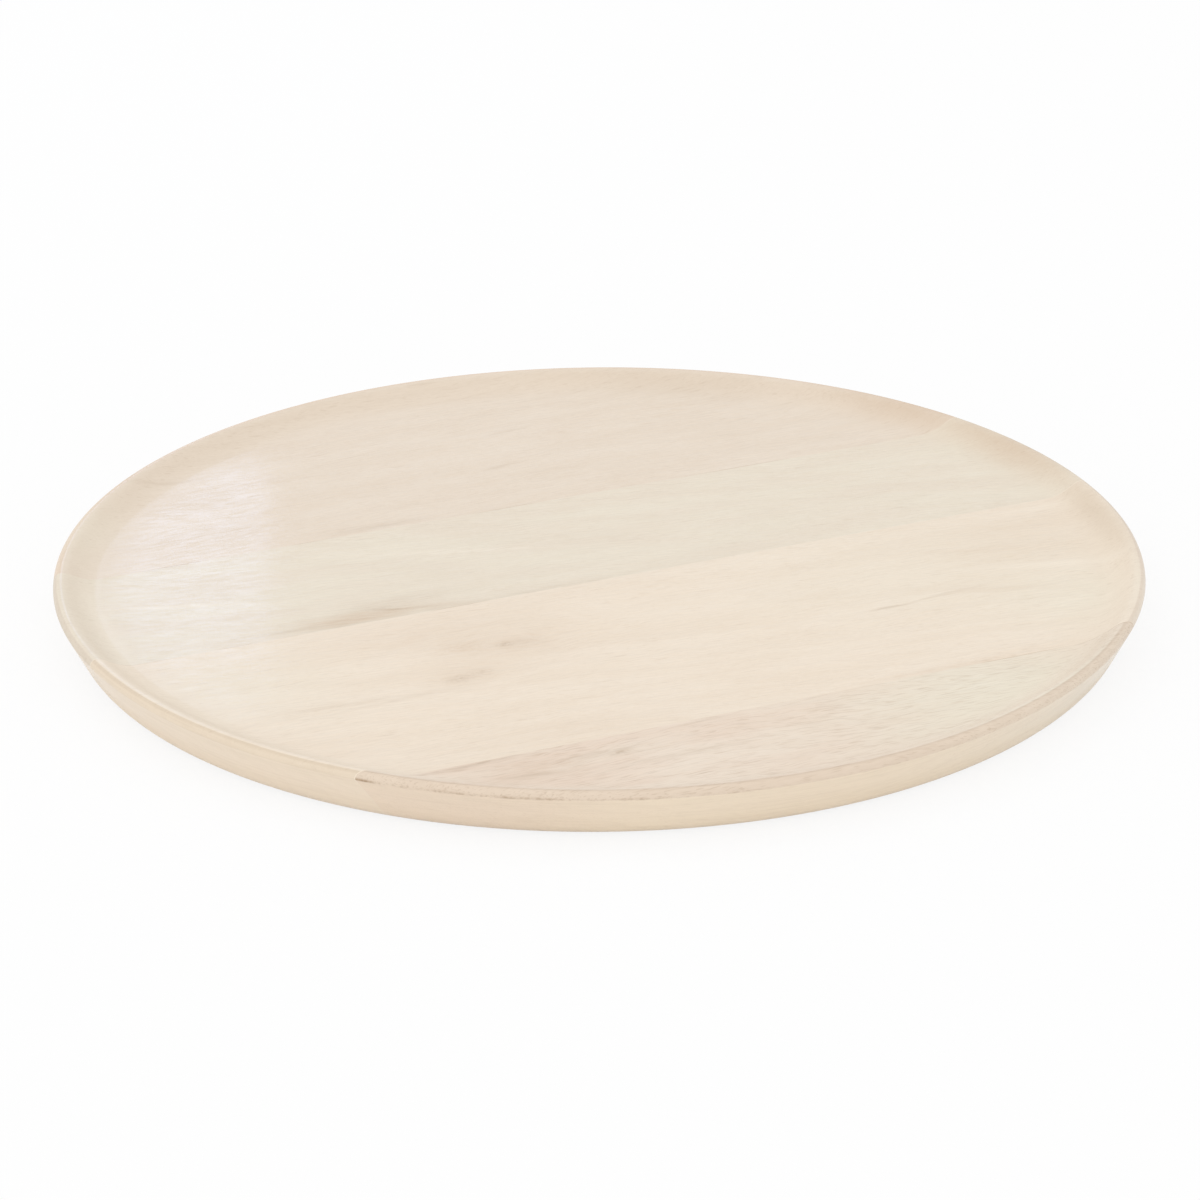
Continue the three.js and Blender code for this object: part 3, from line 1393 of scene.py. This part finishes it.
@dataclass(frozen=True)
class Softbox:
    """A flat lamp, with its middle to the side of, beyond and above the plate's centre."""

    WATTS_PER_RADIANCE: ClassVar[float] = 4.0

    name: str
    side: float
    away: float
    height: float
    width: float
    depth: float
    radiance: float
    colour: Colour
    upright: bool = False

    def build(self, camera: PhotoCamera) -> bpy.types.Object:
        """Make the lamp, facing the plate.

        Args:
            camera: Camera whose directions place the lamp.

        Returns:
            The lamp object.
        """
        lamp = bpy.data.lights.new(self.name, "AREA")
        lamp.shape = "RECTANGLE"
        lamp.size = self.width
        lamp.size_y = self.depth
        lamp.color = self.colour[:3]
        lamp.energy = self.radiance * self.width * self.depth * self.WATTS_PER_RADIANCE
        made = bpy.data.objects.new(self.name, lamp)
        place = camera.side() * self.side + camera.away() * self.away + Vector((0.0, 0.0, self.height))
        facing = camera.away() if self.upright else place.normalized()
        turn = facing.to_track_quat("Z", "Y").to_matrix().to_4x4()
        made.matrix_world = Matrix.Translation(place) @ turn
        made.visible_camera = False
        bpy.context.scene.collection.objects.link(made)
        return made


@dataclass(frozen=True)
class Studio:
    """Plain pale floor and soft light."""

    camera: PhotoCamera = PhotoCamera()
    floor_half_size: float = 6.0
    floor_drop: float = 0.0003
    floor_colour: Colour = (0.92, 0.92, 0.92, 1.0)
    floor_glow: float = 0.85
    sky_level: float = 1.04
    sky_behind: float = 0.72
    sky_lean: float = 0.12
    behind_span: tuple[float, float] = (0.1, 0.7)
    band_foot: tuple[float, float] = (-0.02, 0.08)
    band_top: tuple[float, float] = (0.80, 0.50)
    softboxes: tuple[Softbox, ...] = (
        Softbox("window_panel", -0.232, 0.90, 0.36, 0.084, 0.20, 1.8, (0.45, 0.62, 1.0, 1.0), True),
        Softbox("top_softbox", -0.5, 0.2, 1.6, 1.4, 1.2, 0.15, (1.0, 0.98, 0.95, 1.0)),
        Softbox("front_fill", 0.0, -2.2, 0.6, 2.0, 1.0, 0.2, (1.0, 0.98, 0.95, 1.0)),
    )

    def build(self, rim_radius: float) -> None:
        """Lay the floor, light the scene and set the camera.

        Args:
            rim_radius: Radius of the plate.
        """
        self._floor()
        self._sky()
        for softbox in self.softboxes:
            softbox.build(self.camera)
        self.camera.build(rim_radius)
        bpy.context.scene.view_settings.view_transform = "Standard"

    def _floor(self) -> None:
        """A wide pale floor that keeps the plate's shadow and is near white where it is seen."""
        half = self.floor_half_size
        corners = [(-half, -half), (half, -half), (half, half), (-half, half)]
        mesh = bpy.data.meshes.new("studio_floor")
        mesh.from_pydata([(x, y, -self.floor_drop) for x, y in corners], [], [(0, 1, 2, 3)])
        material = bpy.data.materials.new("pale_floor")
        material.use_nodes = True
        graph = Graph(material.node_tree)
        matte = graph.node("ShaderNodeBsdfDiffuse", {"Color": self.floor_colour})
        glow = graph.node("ShaderNodeEmission", {"Color": WHITE, "Strength": 1.0})
        mixed = graph.node("ShaderNodeMixShader", {"Fac": self._seen(graph) * self.floor_glow})
        graph.tree.links.new(matte.outputs["BSDF"], mixed.inputs[1])
        graph.tree.links.new(glow.outputs["Emission"], mixed.inputs[2])
        output = graph.node("ShaderNodeOutputMaterial")
        graph.tree.links.new(mixed.outputs["Shader"], output.inputs["Surface"])
        mesh.materials.append(material)
        floor = bpy.data.objects.new("studio_floor", mesh)
        bpy.context.scene.collection.objects.link(floor)
        floor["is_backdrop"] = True

    @staticmethod
    def _seen(graph: Graph) -> Val:
        """1 for rays that show the background itself: to the camera, in a gloss or through glass.

        Args:
            graph: Tree of the floor or the sky.

        Returns:
            The share, 0 or 1.
        """
        path = graph.node("ShaderNodeLightPath")
        glossy = graph.out(path, "Is Glossy Ray").most(graph.out(path, "Is Transmission Ray"))
        return graph.out(path, "Is Camera Ray").most(glossy)

    def _sky(self) -> None:
        """Even light from all round, weaker in a band behind the plate, and white where it is seen."""
        world = bpy.data.worlds.new("studio_sky")
        world.use_nodes = True
        bpy.context.scene.world = world
        graph = Graph(world.node_tree)
        direction = graph.out(graph.node("ShaderNodeTexCoord"), "Generated")
        east, north, rise = graph.parts(direction)
        away = self.camera.away()
        side = self.camera.side()
        behind = (east * away.x + north * away.y).step(*self.behind_span)
        band = rise.step(*self.band_foot) * rise.step(*self.band_top)
        lean = 1.0 - (east * side.x + north * side.y) * self.sky_lean
        level = (self.sky_level - behind * band * (self.sky_level - self.sky_behind)) * lean
        strength = level + self._seen(graph) * (1.0 - level)
        sky = graph.node("ShaderNodeBackground", {"Color": WHITE, "Strength": strength})
        output = graph.node("ShaderNodeOutputWorld")
        graph.tree.links.new(sky.outputs["Background"], output.inputs["Surface"])


def main() -> None:
    """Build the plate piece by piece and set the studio."""
    logging.basicConfig(level=logging.INFO, format="%(message)s")
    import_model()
    low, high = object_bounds()
    profile = PlateProfile(rim_radius=(high.x - low.x) / 2, height=high.z - low.z)
    rule = TurningRule(profile)
    lacquer = Lacquer()
    for part in PLATE_PIECES:
        made = part.build(rule, lacquer)
        log.info("%s: %d faces, stands for %s", made.name, len(made.data.polygons), part.piece.node)
    Studio().build(profile.rim_radius)


if __name__ == "__main__":
    main()
